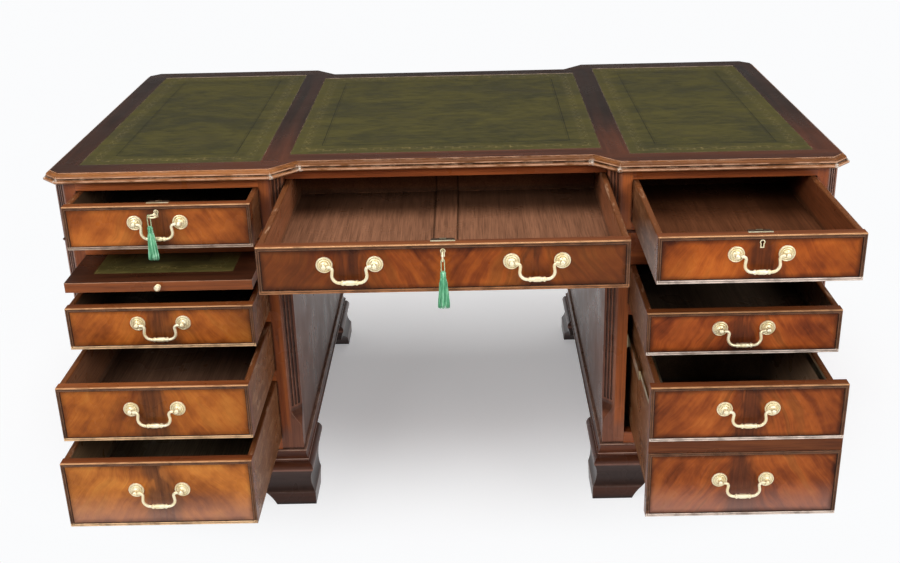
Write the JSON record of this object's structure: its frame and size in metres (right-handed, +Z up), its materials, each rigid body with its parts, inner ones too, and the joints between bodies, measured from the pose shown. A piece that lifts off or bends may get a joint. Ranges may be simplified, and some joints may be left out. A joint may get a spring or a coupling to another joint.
{
  "type": "pedestal desk",
  "caption": "Mahogany pedestal desk with leather-lined breakfront top, beaded drawers on runners, swan-neck drop handles, writing slide, file drawer, locks with keys and bracket feet.",
  "frame": {"origin": "on the floor, in the middle of the desk's plan, halfway between the two pedestals and between front and back faces", "axes": "+X to the right as seen from the front, along the desk's width; +Y from the drawer fronts to the back; +Z up"},
  "size_m": [1.622, 1.2467, 0.78],
  "materials": {
    "case_mahogany": "polished dark mahogany",
    "flame_mahogany": "polished flame veneer",
    "drawer_lining": "satin stained mahogany",
    "green_leather": "aged tooled leather",
    "brass": "polished",
    "runner_steel": "passivated zinc",
    "green_silk": "silk thread"
  },
  "bodies": {
    "desk": {"desk_top": "case_mahogany", "top_leathers": "green_leather", "frieze_case": "case_mahogany", "front_rails": "case_mahogany", "drawer_runners": "drawer_lining", "pedestal_panels": "case_mahogany", "fluted_posts": "case_mahogany", "pedestal_tops": "case_mahogany", "plinths": "case_mahogany", "bracket_feet": "case_mahogany", "file_runner_fixed": "runner_steel"},
    "left_top_drawer": {"left_top_drawer_front": "flame_mahogany", "left_top_drawer_box": "drawer_lining", "left_top_brassware": "brass"},
    "left_top_bail": {"left_top_bail": "brass"},
    "left_top_lock_bolt": {"left_top_lock_bolt": "brass"},
    "left_top_key": {"left_top_key": "brass"},
    "left_top_tassel": {"left_top_tassel": "green_silk", "left_top_tassel_cord": "green_silk"},
    "centre_drawer": {"centre_drawer_front": "flame_mahogany", "centre_drawer_box": "drawer_lining", "centre_brassware": "brass"},
    "centre_bail_1": {"centre_bail_1": "brass"},
    "centre_bail_2": {"centre_bail_2": "brass"},
    "centre_lock_bolt": {"centre_lock_bolt": "brass"},
    "centre_key": {"centre_key": "brass"},
    "centre_tassel": {"centre_tassel": "green_silk", "centre_tassel_cord": "green_silk"},
    "right_top_drawer": {"right_top_drawer_front": "flame_mahogany", "right_top_drawer_box": "drawer_lining", "right_top_brassware": "brass"},
    "right_top_bail": {"right_top_bail": "brass"},
    "right_top_lock_bolt": {"right_top_lock_bolt": "brass"},
    "left_upper_drawer": {"left_upper_drawer_front": "flame_mahogany", "left_upper_drawer_box": "drawer_lining", "left_upper_brassware": "brass"},
    "left_upper_bail": {"left_upper_bail": "brass"},
    "left_middle_drawer": {"left_middle_drawer_front": "flame_mahogany", "left_middle_drawer_box": "drawer_lining", "left_middle_brassware": "brass"},
    "left_middle_bail": {"left_middle_bail": "brass"},
    "left_lower_drawer": {"left_lower_drawer_front": "flame_mahogany", "left_lower_drawer_box": "drawer_lining", "left_lower_brassware": "brass"},
    "left_lower_bail": {"left_lower_bail": "brass"},
    "right_upper_drawer": {"right_upper_drawer_front": "flame_mahogany", "right_upper_drawer_box": "drawer_lining", "right_upper_brassware": "brass"},
    "right_upper_bail": {"right_upper_bail": "brass"},
    "file_drawer": {"file_drawer_front": "flame_mahogany", "file_drawer_box": "drawer_lining", "file_brassware": "brass", "file_runner_inner": "runner_steel"},
    "file_bail_1": {"file_bail_1": "brass"},
    "file_bail_2": {"file_bail_2": "brass"},
    "writing_slide": {"writing_slide_board": "case_mahogany", "writing_slide_leather": "green_leather", "writing_slide_knob": "brass"},
    "file_runner_middle": {"file_runner_middle": "runner_steel"}
  },
  "joints": [
    {"name": "left_top_drawer_slide", "type": "slide", "parent": "desk", "child": "left_top_drawer", "axis": [0, -1, 0], "range_m": [-0.096, 0.304]},
    {"name": "left_top_bail_hinge", "type": "hinge", "parent": "left_top_drawer", "child": "left_top_bail", "pos_m": [-0.56, -0.538, 0.7045], "axis": [-1, 0, 0], "range_deg": [0, 95], "deforming": ["left_top_tassel"]},
    {"name": "left_top_lock_bolt_slide", "type": "slide", "parent": "left_top_drawer", "child": "left_top_lock_bolt", "axis": [0, 0, 1], "range_m": [0, 0.006]},
    {"name": "left_top_key_turn", "type": "hinge", "parent": "left_top_drawer", "child": "left_top_key", "pos_m": [-0.56, -0.551, 0.7262], "axis": [0, 1, 0], "range_deg": [-90, 0]},
    {"name": "left_top_tassel_swing", "type": "hinge", "parent": "left_top_key", "child": "left_top_tassel", "pos_m": [-0.568, -0.551, 0.7262], "axis": [0, 1, 0], "range_deg": [0, 90]},
    {"name": "centre_drawer_slide", "type": "slide", "parent": "desk", "child": "centre_drawer", "axis": [0, -1, 0], "range_m": [-0.383, 0.017]},
    {"name": "centre_bail_1_hinge", "type": "hinge", "parent": "centre_drawer", "child": "centre_bail_1", "pos_m": [-0.1645, -0.775, 0.7045], "axis": [-1, 0, 0], "range_deg": [0, 95]},
    {"name": "centre_bail_2_hinge", "type": "hinge", "parent": "centre_drawer", "child": "centre_bail_2", "pos_m": [0.1645, -0.775, 0.7045], "axis": [-1, 0, 0], "range_deg": [0, 95]},
    {"name": "centre_lock_bolt_slide", "type": "slide", "parent": "centre_drawer", "child": "centre_lock_bolt", "axis": [0, 0, 1], "range_m": [0, 0.006]},
    {"name": "centre_key_turn", "type": "hinge", "parent": "centre_drawer", "child": "centre_key", "pos_m": [0, -0.788, 0.7262], "axis": [0, 1, 0], "range_deg": [0, 90]},
    {"name": "centre_tassel_swing", "type": "hinge", "parent": "centre_key", "child": "centre_tassel", "pos_m": [0, -0.788, 0.7182], "axis": [0, 1, 0], "range_deg": [-90, 0]},
    {"name": "right_top_drawer_slide", "type": "slide", "parent": "desk", "child": "right_top_drawer", "axis": [0, -1, 0], "range_m": [-0.322, 0.078]},
    {"name": "right_top_bail_hinge", "type": "hinge", "parent": "right_top_drawer", "child": "right_top_bail", "pos_m": [0.56, -0.764, 0.7045], "axis": [-1, 0, 0], "range_deg": [0, 95]},
    {"name": "right_top_lock_bolt_slide", "type": "slide", "parent": "right_top_drawer", "child": "right_top_lock_bolt", "axis": [0, 0, 1], "range_m": [0, 0.006]},
    {"name": "left_upper_drawer_slide", "type": "slide", "parent": "desk", "child": "left_upper_drawer", "axis": [0, -1, 0], "range_m": [-0.165, 0.235]},
    {"name": "left_upper_bail_hinge", "type": "hinge", "parent": "left_upper_drawer", "child": "left_upper_bail", "pos_m": [-0.56, -0.607, 0.52095], "axis": [-1, 0, 0], "range_deg": [0, 95]},
    {"name": "left_middle_drawer_slide", "type": "slide", "parent": "desk", "child": "left_middle_drawer", "axis": [0, -1, 0], "range_m": [-0.279, 0.121]},
    {"name": "left_middle_bail_hinge", "type": "hinge", "parent": "left_middle_drawer", "child": "left_middle_bail", "pos_m": [-0.56, -0.721, 0.3939], "axis": [-1, 0, 0], "range_deg": [0, 95]},
    {"name": "left_lower_drawer_slide", "type": "slide", "parent": "desk", "child": "left_lower_drawer", "axis": [0, -1, 0], "range_m": [-0.32, 0.08]},
    {"name": "left_lower_bail_hinge", "type": "hinge", "parent": "left_lower_drawer", "child": "left_lower_bail", "pos_m": [-0.56, -0.762, 0.2398], "axis": [-1, 0, 0], "range_deg": [0, 95]},
    {"name": "right_upper_drawer_slide", "type": "slide", "parent": "desk", "child": "right_upper_drawer", "axis": [0, -1, 0], "range_m": [-0.24, 0.16]},
    {"name": "right_upper_bail_hinge", "type": "hinge", "parent": "right_upper_drawer", "child": "right_upper_bail", "pos_m": [0.56, -0.682, 0.52095], "axis": [-1, 0, 0], "range_deg": [0, 95]},
    {"name": "file_drawer_slide", "type": "slide", "parent": "desk", "child": "file_drawer", "axis": [0, -1, 0], "range_m": [-0.322, 0.148]},
    {"name": "file_bail_1_hinge", "type": "hinge", "parent": "file_drawer", "child": "file_bail_1", "pos_m": [0.56, -0.764, 0.3939], "axis": [-1, 0, 0], "range_deg": [0, 95]},
    {"name": "file_bail_2_hinge", "type": "hinge", "parent": "file_drawer", "child": "file_bail_2", "pos_m": [0.56, -0.764, 0.2398], "axis": [-1, 0, 0], "range_deg": [0, 95]},
    {"name": "writing_slide_travel", "type": "slide", "parent": "desk", "child": "writing_slide", "axis": [0, -1, 0], "range_m": [-0.147, 0.153]},
    {"name": "file_runner_middle_slide", "type": "slide", "parent": "desk", "child": "file_runner_middle", "axis": [0, -1, 0], "range_m": [-0.161, 0.074]}
  ],
  "couplings": [
    {"joint": "left_top_key_turn", "follows": "left_top_lock_bolt_slide", "rad_per_m": -261.8},
    {"joint": "left_top_tassel_swing", "follows": "left_top_lock_bolt_slide", "rad_per_m": 261.8},
    {"joint": "centre_key_turn", "follows": "centre_lock_bolt_slide", "rad_per_m": 261.8},
    {"joint": "centre_tassel_swing", "follows": "centre_lock_bolt_slide", "rad_per_m": -261.8},
    {"joint": "file_runner_middle_slide", "follows": "file_drawer_slide", "ratio": 0.5}
  ]
}
